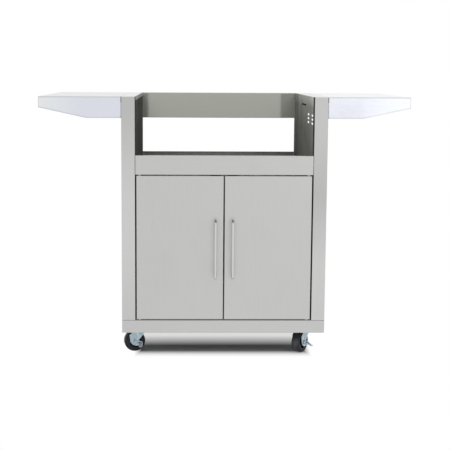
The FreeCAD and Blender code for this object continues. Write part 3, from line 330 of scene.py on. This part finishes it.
def brushed_steel(name, colour, grain, roughness=0.34, contrast=0.055, edge_gain=1.12, edge_width=1.6,
                  fold_shade_gain=None, seam_shade_gain=None, relief=0.35, painted_light_and_shade=None, bands=(), top=None, top_bands=(),
                  inside=None):
    """Brushed sheet: broad and fine streaks along the grain, handling smudges, and edges worn lighter or painted
    darker as shade.

    edge_width is in millimetres. The function for painted light and shade changes the sheet's colour from place to
    place, top is the colour of the faces that look up, painted light on some pieces and painted shade on others,
    and inside the painted shade of those that are turned inwards. The fold and seam gains paint shade into folds
    and seams.
    """
    steel = Finish(name, colour, metallic=1.0)
    broad = steel.noise(grain_cells(grain, *BROAD_STREAKS), STREAK_DETAIL)
    fine = steel.noise(grain_cells(grain, *FINE_STREAKS), STREAK_DETAIL)
    smudge = steel.noise(*SMUDGES)
    streak = steel.blend(BROAD_SHARE, fine, broad)
    tone = steel.between(steel.blend(SMUDGE_SHARE, streak, smudge), MIDDLE)
    sheet = steel.shades(tone, colour, contrast)
    if painted_light_and_shade:
        sheet = painted_light_and_shade(steel, sheet)
    sheet = steel.banded(sheet, bands)
    # Faces that look up take the top colour: painted light on the posts' tops, painted shade on the handles' tops.
    if top:
        sheet = steel.mix(steel.upward(), sheet, steel.banded(top, top_bands))
    # Edges are lighter where worn, and darker as painted shade where edge_gain is below one.
    edge_wear_and_shade = steel.edge(edge_width * MILLIMETRE)
    sheet = steel.mix(edge_wear_and_shade, sheet, shade(colour, edge_gain))
    # Folds and upward seams are darkened as painted shade.
    if fold_shade_gain:
        sheet = steel.mix(steel.fold(), sheet, shade(colour, fold_shade_gain))
    if seam_shade_gain:
        sheet = steel.mix(steel.seam(), sheet, shade(colour, seam_shade_gain))
    brushed = steel.between(streak, STREAK_SPAN, around(roughness, STREAK_ROUGHNESS))
    handled = steel.between(smudge, SMUDGE_SPAN, (0.0, SMUDGE_ROUGHNESS))
    rough = steel.combine("ADD", brushed, handled)
    rough = steel.combine("ADD", rough, steel.blend(edge_wear_and_shade, 0.0, EDGE_POLISH))
    # Faces turned inwards take a darker, duller copy of the steel as painted shade.
    if inside:
        within = inner_faces(steel, inside)
        shaded_inside = steel.shades(tone, inside.colour, inside.contrast)
        sheet = steel.mix(within, sheet, steel.banded(shaded_inside, inside.bands))
        rough = steel.blend(within, rough, inside.roughness)
        if inside.metal < 1.0:
            steel.set("Metallic", steel.blend(within, 1.0, inside.metal))
        steel.set("Specular IOR Level", 0.0)
    steel.set("Base Color", sheet)
    steel.set("Roughness", rough)
    steel.relief(streak, STREAK_DEPTH, relief)
    return steel.material


# Zinc: noises as cells a metre and layers, their spans, the patches' gains, the roughness, and the edges' painted
# highlight.
ZINC_PATCHES = (even_cells(90.0), 4.0)
ZINC_BLOOM = (even_cells(320.0), 2.0)
PATCH_SPAN = (0.35, 0.65)
PATCH_GAINS = (0.72, 1.2)
BLOOM_SPAN = (0.35, 0.7)
ZINC_ROUGHNESS = (0.22, 0.42)
ZINC_EDGE_HIGHLIGHT = (0.74, 0.79, 0.82)
ZINC_EDGE_WIDTH = 1.2 * MILLIMETRE
ZINC_RELIEF = (0.05 * MILLIMETRE, 0.3)


def zinc_plate(name, colour, metallic=1.0):
    """Bright zinc on pressed steel: a blue-grey tone in soft patches, with a little white bloom, and edges painted
    lighter as a highlight.
    """
    zinc = Finish(name, colour, metallic)
    patch = zinc.noise(*ZINC_PATCHES)
    dark, light = (shade(colour, gain) for gain in PATCH_GAINS)
    tone = zinc.mix(zinc.between(patch, PATCH_SPAN), dark, light)
    zinc.set("Base Color", zinc.mix(zinc.edge(ZINC_EDGE_WIDTH), tone, ZINC_EDGE_HIGHLIGHT))
    zinc.set("Roughness", zinc.between(zinc.noise(*ZINC_BLOOM), BLOOM_SPAN, ZINC_ROUGHNESS))
    zinc.relief(patch, *ZINC_RELIEF)
    return zinc.material


# Bright steel: scratches as cells a metre and layers, their contrast, and how far they change the roughness.
SCRATCHES = ((700.0, 700.0, 90.0), 3.0)
SCRATCH_CONTRAST = 0.1
SCRATCH_ROUGHNESS = (-0.06, 0.08)
SCRATCH_RELIEF = (0.03 * MILLIMETRE, 0.3)


def bright_steel(name, colour, roughness):
    """Turned or drawn steel: fine rings and small scratches."""
    steel = Finish(name, colour, metallic=1.0)
    scratch = steel.noise(*SCRATCHES)
    steel.set("Base Color", steel.shades(scratch, colour, SCRATCH_CONTRAST))
    rough = [roughness + change for change in SCRATCH_ROUGHNESS]
    steel.set("Roughness", steel.between(scratch, MIDDLE, rough))
    steel.relief(scratch, *SCRATCH_RELIEF)
    return steel.material


# Rubber: clean and dusty colours of side and tread, the tread paler partly from wear and partly as painted light,
# noises as cells a metre and layers, dust and skin.
SIDE_CLEAN = (0.008, 0.0095, 0.015)
SIDE_DUSTY = (0.022, 0.025, 0.033)
TREAD_CLEAN = (0.024, 0.026, 0.030)
TREAD_DUSTY = (0.075, 0.079, 0.083)
RUBBER_SKIN = (even_cells(900.0), 3.0)
RUBBER_DUST = (even_cells(60.0), 5.0)
DUST_SPAN = (0.4, 0.7)
MOST_DUST = 0.8
RUBBER_ROUGHNESS = (0.52, 0.72)
RUBBER_GLOSS = 0.35
RUBBER_RELIEF = (0.12 * MILLIMETRE, 0.5)
# The name of the tyres' attribute that is 1 on the tread and 0 on the sides.
TREAD = "tread"


def rubber():
    """Black tyre: a fine moulded skin, paler on the tread, partly from wear where it rolls and partly as painted
    light.
    """
    tyre = Finish("tyre_rubber", SIDE_CLEAN)
    skin = tyre.noise(*RUBBER_SKIN)
    dusty = tyre.between(tyre.noise(*RUBBER_DUST), DUST_SPAN, (0.0, MOST_DUST))
    side = tyre.mix(dusty, SIDE_CLEAN, SIDE_DUSTY)
    tread_wear_and_light = tyre.mix(dusty, TREAD_CLEAN, TREAD_DUSTY)
    band = tyre.node("ShaderNodeAttribute", {}, attribute_name=TREAD).outputs["Fac"]
    tyre.set("Base Color", tyre.mix(band, side, tread_wear_and_light))
    tyre.set("Roughness", tyre.between(skin, MIDDLE, RUBBER_ROUGHNESS))
    tyre.set("Specular IOR Level", RUBBER_GLOSS)
    tyre.relief(skin, *RUBBER_RELIEF)
    return tyre.material


# Plastic: noises as cells a metre and layers, their contrast, and how far the skin changes the roughness.
PLASTIC_SKIN = (even_cells(1400.0), 2.0)
PLASTIC_CLOUDS = (even_cells(40.0), 3.0)
CLOUD_CONTRAST = 0.12
SKIN_ROUGHNESS = 0.07
PLASTIC_RELIEF = (0.05 * MILLIMETRE, 0.4)


def moulded_plastic(name, colour, roughness, gloss=0.5):
    """Moulded plastic with a spark-eroded texture."""
    plastic = Finish(name, colour)
    skin = plastic.noise(*PLASTIC_SKIN)
    plastic.set("Base Color", plastic.shades(plastic.noise(*PLASTIC_CLOUDS), colour, CLOUD_CONTRAST))
    plastic.set("Roughness", plastic.between(skin, MIDDLE, around(roughness, SKIN_ROUGHNESS)))
    plastic.set("Specular IOR Level", gloss)
    plastic.relief(skin, *PLASTIC_RELIEF)
    return plastic.material


STEEL = (0.571, 0.571, 0.566)
# A darker copy of the steel for the inner sheets: painted shade.
INNER_SHADE_STEEL = (0.30, 0.30, 0.28)
# Pale tops of the bay's sides: painted light.
POST_TOP_PAINTED_LIGHT = (0.76, 0.76, 0.755)
HANDLE_STEEL = (0.635, 0.635, 0.625)
# Dark tops of the handles: painted shade, standing in for a dark reflection.
HANDLE_TOP_PAINTED_SHADE = (0.14, 0.14, 0.14)
FASTENER_STEEL = (0.62, 0.63, 0.64)
ZINC = (0.38, 0.475, 0.53)
# Paler zinc for the brake levers: painted light.
LEVER_PAINTED_LIGHT_ZINC = (0.62, 0.69, 0.73)
NYLON = (0.70, 0.69, 0.64)
CATCH_BLACK = (0.035, 0.035, 0.036)
CORE_BLACK = (0.010, 0.011, 0.014)

# Shelves: the steel is paler and less blue towards the free end, the paleness painted light, and darker along the
# folded outline as painted shade. The left shelf's top is a little darker than the right one's, as painted shade.
SHELF_STEEL = (0.717, 0.732, 0.80)
SHELF_END_PAINTED_LIGHT = (0.785, 0.81, 0.815)
SHELF_RIM_PAINTED_SHADE = (0.62, 0.635, 0.67)
SHELF_TOP = (0.76, 0.765, 0.77)
SHELF_TOP_LIGHT_AND_SHADE = (Band("X", (-SHELF_LOW.x, SHELF_MIDDLE), (0.90, 1.12)),)
FREE_END = (SHELF_MIDDLE, SHELF_HIGH.x)
# The apron's sloped lower edge: its length along the shelf, and the apron's height at the free end.
SLOPE_LENGTH = 0.164
END_HEIGHT = 0.038
APRON_SLOPE = (SHELF_HIGH.x - SLOPE_LENGTH, SHELF_HIGH.x)
APRON_FOOT = (SHELF_LOW.z, SHELF_HIGH.z - END_HEIGHT)
RIM_WIDTH = (2.5 * MILLIMETRE, 5.5 * MILLIMETRE)


def shelf_light_and_shade(steel, sheet):
    """The shelves' painted light towards the free end and painted shade along the outline, with the apron's sloped
    lower edge followed by its outline.
    """
    reach = steel.combine("ABSOLUTE", steel.coordinate("Object", "X"))
    height = steel.coordinate("Object", "Z")
    sheet = steel.mix(steel.between(reach, FREE_END), sheet, SHELF_END_PAINTED_LIGHT)
    above_foot = steel.combine("SUBTRACT", height, steel.between(reach, APRON_SLOPE, APRON_FOOT))
    below_edge = steel.combine("SUBTRACT", SHELF_HIGH.z, height)
    nearest = steel.combine("MINIMUM", above_foot, below_edge)
    return steel.mix(steel.between(nearest, RIM_WIDTH, (1.0, 0.0)), sheet, SHELF_RIM_PAINTED_SHADE)


# The inner walls have painted light along their top edge, and the right one also towards the front,
# with painted shade towards its rear.
LEFT_WALL_PAINTED_LIGHT = (Band("Z", below_top(0.015, 0.012), (1.0, 4.5)),)
RIGHT_WALL_LIGHT_AND_SHADE = (
    Band("Z", below_top(0.124, 0.054), (1.0, 1.42)),
    Band("Z", below_top(0.039, 0.009), (1.0, 1.7)),
    Band("Y", behind_front(0.03, 0.44), (1.45, 1.05)),
    Band("Y", behind_front(0.445, 0.475), (1.0, 0.72)),
)
# The front posts carry painted reflection, lighter and darker along their height: the left one is a little darker
# beside its shelf and at its foot, the right one at mid height.
POST_LIGHT_AND_SHADE = {
    "front_left": (Band("Z", below_top(0.754, 0.554), (0.925, 1.0)),
                   Band("Z", below_top(0.334, 0.054), (1.10, 0.91))),
    "front_right": (Band("Z", below_top(0.584, 0.334), (1.225, 1.0)),
                    Band("Z", below_top(0.334, 0.114), (0.865, 0.955))),
}
# The slots' edges in the left wall take the same painted shade as its face, to this distance from the cart's
# middle.
WALL_SKIN = WALL_INNER + 1.0 * MILLIMETRE
# The rear posts' recessed faces, which the slots show, take painted shade over these heights, under the shelves.
SHELF_SHADE_HEIGHTS = below_top(0.174, 0.114)

# The insides below are painted shade: darker, duller copies of the steel on faces turned into the bay, on the
# walls (the right one lighter than the left), the posts, the back panel and the back rail.
LEFT_INSIDE = Inside("X", (0.095, 0.095, 0.090), bands=LEFT_WALL_PAINTED_LIGHT, skin=WALL_SKIN)
RIGHT_INSIDE = Inside("X", (0.16, 0.16, 0.148), contrast=0.45, bands=RIGHT_WALL_LIGHT_AND_SHADE)
POST_INSIDE = Inside("X", (0.055, 0.055, 0.052))
REAR_POST_INSIDE = Inside("X", (0.08, 0.08, 0.075), cover=SHELF_SHADE_HEIGHTS)
BACK_INSIDE = Inside("Y", (0.46, 0.46, 0.445), roughness=0.34, metal=1.0, contrast=0.12)
RAIL_INSIDE = Inside("Y", (0.418, 0.423, 0.382), roughness=0.04, metal=0.40, contrast=0.03)


def bay_side(name, inside, bands=()):
    """Upright sheet beside the bay: painted light on top and painted shade on the inside."""
    return brushed_steel(name, STEEL, "z", bands=bands, top=POST_TOP_PAINTED_LIGHT, inside=inside)


def slot_finishes():
    """The finish of every material slot in the record."""
    return {
        "stainless": brushed_steel("stainless_level", STEEL, "x"),
        # The inner steel is a darker copy of the steel, as painted shade on the inner sheets.
        "inner_stainless": brushed_steel("stainless_inside", INNER_SHADE_STEEL, "z", roughness=0.46),
        # The shelves' edges, folds and outline are darkened as painted shade, and their free ends lightened as
        # painted light.
        "shelf_stainless": brushed_steel("stainless_shelf", SHELF_STEEL, "x", roughness=0.24, contrast=0.012,
                                         edge_gain=0.75, edge_width=3.0, fold_shade_gain=0.75, relief=0.03,
                                         painted_light_and_shade=shelf_light_and_shade, top=SHELF_TOP, top_bands=SHELF_TOP_LIGHT_AND_SHADE),
        # The handles' tops are dark as painted shade.
        "handle_steel": brushed_steel("handle_satin", HANDLE_STEEL, "z", roughness=0.26, top=HANDLE_TOP_PAINTED_SHADE),
        "zinc_plate": zinc_plate("zinc_plate", ZINC),
        "fastener_steel": bright_steel("fastener_bright", FASTENER_STEEL, roughness=0.24),
        "nylon": moulded_plastic("bush_nylon", NYLON, roughness=0.5),
        "catch_plastic": moulded_plastic("catch_plastic", CATCH_BLACK, roughness=0.45),
        "tyre": rubber(),
        "wheel_core": moulded_plastic("wheel_core_plastic", CORE_BLACK, roughness=0.42, gloss=0.35),
    }


def node_finishes(axle_zinc):
    """The finishes of nodes that differ from their slot's, by grain, or by painted light and shade on inner faces,
    tops, levers and along bands.
    """
    upright = brushed_steel("stainless_upright", STEEL, "z")
    deep = brushed_steel("stainless_deep", STEEL, "y")
    rear_post = bay_side("stainless_rear_post", REAR_POST_INSIDE)
    # The brake levers are paler and less metallic than the rest of the zinc, as painted light.
    lever_zinc = zinc_plate("zinc_lever", LEVER_PAINTED_LIGHT_ZINC, metallic=0.4)
    by_node = {
        # The base rail is darkened in its upward folds as painted shade, where the doors and posts meet it.
        "base_front_rail": brushed_steel("stainless_base", STEEL, "x", seam_shade_gain=0.3),
        "left_door_skin": upright,
        "right_door_skin": upright,
        "base_left_rail": deep,
        "base_right_rail": deep,
        "left_side_panel": bay_side("stainless_left_wall", LEFT_INSIDE),
        "right_side_panel": bay_side("stainless_right_wall", RIGHT_INSIDE),
        "back_panel": brushed_steel("stainless_back", STEEL, "z", inside=BACK_INSIDE),
        "upper_back_rail": brushed_steel("stainless_back_rail", STEEL, "x", inside=RAIL_INSIDE),
    }
    for corner in CORNERS:
        by_node[f"{corner}_post"] = rear_post
        by_node[f"{corner}_axle"] = axle_zinc
        by_node[f"{corner}_brake_lever"] = lever_zinc
    for corner, bands in POST_LIGHT_AND_SHADE.items():
        by_node[f"{corner}_post"] = bay_side(f"stainless_{corner}_post", POST_INSIDE, bands)
    return by_node


def dress(piece, material):
    """Give a piece its finish on the object, so that its mesh stays as it came from model.glb."""
    if not piece.material_slots:
        piece.data.materials.append(material)
    for slot in piece.material_slots:
        slot.link = "OBJECT"
        slot.material = material


def dress_frame(by_slot):
    """Give every CAD node its own finish, or else its slot's."""
    by_node = node_finishes(by_slot["zinc_plate"])
    for part in record["subparts"]:
        name = part["node"]
        dress(nodes[name], by_node.get(name, by_slot[part["material_slot"]]))


# Tyre: half of the section, as distance from the axle and from the wheel's middle, in millimetres.
TYRE_SECTION = ((27.0, 14.8), (29.6, 14.8), (30.2, 14.4), (31.0, 14.4), (31.6, 14.9), (33.0, 14.9),
                (34.6, 14.2), (35.9, 12.9), (36.8, 11.0), (37.2, 9.4), (36.6, 9.1), (36.6, 8.1),
                (37.25, 7.8), (37.45, 4.0), (37.5, 0.0))
TYRE_STEPS = 72
TREAD_RADIUS = 36.7 * MILLIMETRE
SHARP_ANGLE = math.radians(38.0)
FORK_EDGE = 0.5 * MILLIMETRE
CORE_EDGE = 0.8 * MILLIMETRE


def lathe(name, section, steps, centre, axis):
    """Turn a closed section, as (radius, along) pairs in metres, around an axis, and mark its tread."""
    middle = Vector(centre)
    axis = Vector(axis).normalized()
    across = axis.cross(Vector((0, 0, 1))).normalized()
    upward = across.cross(axis)
    mesh = bpy.data.meshes.new(name)
    form = bmesh.new()
    rings = []
    for step in range(steps):
        turn = math.tau * step / steps
        spoke = across * math.cos(turn) + upward * math.sin(turn)
        rings.append([form.verts.new(middle + spoke * radius + axis * along) for radius, along in section])
    for step, ring in enumerate(rings):
        following = rings[(step + 1) % steps]
        for place in range(len(section)):
            beside = (place + 1) % len(section)
            form.faces.new((ring[place], ring[beside], following[beside], following[place]))
    bmesh.ops.recalc_face_normals(form, faces=form.faces)
    for face in form.faces:
        face.smooth = True
    for edge in form.edges:
        edge.smooth = edge.calc_face_angle(0.0) < SHARP_ANGLE
    form.to_mesh(mesh)
    form.free()
    tread = mesh.attributes.new(TREAD, "FLOAT", "POINT")
    tread.data.foreach_set("value", [float(radius > TREAD_RADIUS) for radius, along in section] * steps)
    turned = bpy.data.objects.new(name, mesh)
    scene.collection.objects.link(turned)
    return turned


def tyres(material):
    """Moulded tyres with rounded shoulders and two fine grooves, in place of the plain CAD rings."""
    half = [(radius * MILLIMETRE, along * MILLIMETRE) for radius, along in TYRE_SECTION]
    section = half + [(radius, -along) for radius, along in reversed(half[:-1])]
    spins = {joint["child"]: joint for joint in frame["joints"]}
    for corner in CORNERS:
        spin = spins[f"{corner}_wheel"]
        tyre = lathe(f"{corner}_moulded_tyre", section, TYRE_STEPS, spin["pos_m"], spin["axis"])
        tyre.data.materials.append(material)
        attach(tyre, f"{corner}_wheel")
        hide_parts(f"{corner}_tyre")


def round_edges(names, width):
    """Break the sharp edges of pressed and moulded pieces."""
    for name in names:
        bevel = nodes[name].modifiers.new("broken_edges", "BEVEL")
        bevel.width = width
        bevel.segments = 2
        bevel.limit_method = "ANGLE"
        bevel.angle_limit = SHARP_ANGLE
        bevel.harden_normals = False


def seen_rays(tree):
    """1 for rays from the camera and for what metal and glass show, 0 for diffuse light."""
    rays = tree.nodes.new("ShaderNodeLightPath")
    seen = rays.outputs["Is Camera Ray"]
    for ray in ("Is Glossy Ray", "Is Transmission Ray"):
        either = tree.nodes.new("ShaderNodeMath")
        either.operation = "MAXIMUM"
        tree.links.new(seen, either.inputs[0])
        tree.links.new(rays.outputs[ray], either.inputs[1])
        seen = either.outputs["Value"]
    return seen


def studio_world():
    """A white surround that metal also shows, weaker for diffuse light."""
    world = bpy.data.worlds.new("studio")
    scene.world = world
    world.use_nodes = True
    tree = world.node_tree
    background = tree.nodes["Background"]
    background.inputs["Color"].default_value = rgba(WHITE)
    strength = tree.nodes.new("ShaderNodeMapRange")
    strength.inputs["To Min"].default_value = AMBIENT
    strength.inputs["To Max"].default_value = 1.0
    tree.links.new(seen_rays(tree), strength.inputs["Value"])
    tree.links.new(strength.outputs["Result"], background.inputs["Strength"])


def soft_box(name, box):
    """One soft box of the studio's light."""
    data = bpy.data.lights.new(name, "AREA")
    data.shape = "RECTANGLE"
    data.size, data.size_y = box.sides
    data.energy = box.watts
    lamp = bpy.data.objects.new(name, data)
    lamp.location = box.spot
    lamp.rotation_mode = "QUATERNION"
    lamp.rotation_quaternion = (box.target - box.spot).to_track_quat("-Z", "Y")
    lamp.visible_glossy = box.mirrored
    scene.collection.objects.link(lamp)


def outline_depth(paper, axis, half):
    """How far a point of the floor lies inside the cart's outline along an axis, in metres."""
    return paper.combine("SUBTRACT", half, paper.combine("ABSOLUTE", paper.coordinate("Object", axis)))


def floor_paper():
    """White paper that takes the cart's shadow, with a painted shadow and a painted glow under the cart, and runs
    out to plain white away from the cart.
    """
    paper = Finish("floor_paper", WHITE)
    paper.set("Roughness", PAPER_ROUGHNESS)
    paper.set("Specular IOR Level", 0.0)
    depths = [outline_depth(paper, axis, half) for axis, half in zip("XY", SHADOW_OUTLINE)]
    sides = [paper.between(depth, begins, (1.0, 0.0)) for depth, begins in zip(depths, SHADOW_BEGINS)]
    outside = paper.combine("MAXIMUM", *sides)
    # Under the cart's middle the paper glows white as painted light.
    glow = paper.between(depths[1], SHADOW_ENDS, (0.0, PAINTED_UNDER_GLOW))
    plain = paper.combine("MAXIMUM", outside, glow)
    share = paper.combine("MULTIPLY", plain, seen_rays(paper.tree))
    # Inside the outline the paper is painted grey as a painted shadow.
    paper.set("Base Color", paper.mix(outside, PAINTED_SHADOW_PAPER, WHITE))
    white = paper.node("ShaderNodeEmission", {"Color": rgba(WHITE), "Strength": 1.0}).outputs["Emission"]
    both = paper.node("ShaderNodeMixShader", {0: share, 1: paper.shader.outputs["BSDF"], 2: white})
    paper.feed(paper.tree.nodes["Material Output"].inputs["Surface"], both.outputs["Shader"])
    return paper.material


def studio_floor():
    """A flat sheet of the paper under the cart."""
    half = FLOOR_SIZE / 2
    mesh = bpy.data.meshes.new("floor")
    mesh.from_pydata([(-half, -half, 0), (half, -half, 0), (half, half, 0), (-half, half, 0)], [],
                     [(0, 1, 2, 3)])
    mesh.materials.append(floor_paper())
    floor = bpy.data.objects.new("floor", mesh)
    scene.collection.objects.link(floor)


def photo_camera():
    """The camera at the photograph's view, turned by its yaw, pitch and roll."""
    data = bpy.data.cameras.new("photo_camera")
    data.lens = CAMERA_LENS
    data.sensor_width = SENSOR
    data.shift_x, data.shift_y = IMAGE_SHIFT
    yaw, pitch, roll = (math.radians(angle) for angle in (CAMERA_YAW, CAMERA_PITCH, CAMERA_ROLL))
    ahead = Vector((math.sin(yaw) * math.cos(pitch), math.cos(yaw) * math.cos(pitch), math.sin(pitch)))
    level = ahead.cross(Vector((0, 0, 1))).normalized()
    right = level * math.cos(roll) + level.cross(ahead) * math.sin(roll)
    up = right.cross(ahead)
    turn = Matrix((right, up, -ahead)).transposed().to_4x4()
    turn.translation = CAMERA_SPOT
    camera = bpy.data.objects.new("photo_camera", data)
    camera.matrix_world = turn
    scene.collection.objects.link(camera)
    scene.camera = camera


scene.view_settings.view_transform = "Standard"
finishes = slot_finishes()
dress_frame(finishes)
tyres(finishes["tyre"])
round_edges([f"{corner}_fork" for corner in CORNERS], FORK_EDGE)
round_edges([f"{corner}_wheel_core" for corner in CORNERS], CORE_EDGE)
studio_world()
for box_name, light in SOFT_BOXES.items():
    soft_box(box_name, light)
studio_floor()
photo_camera()
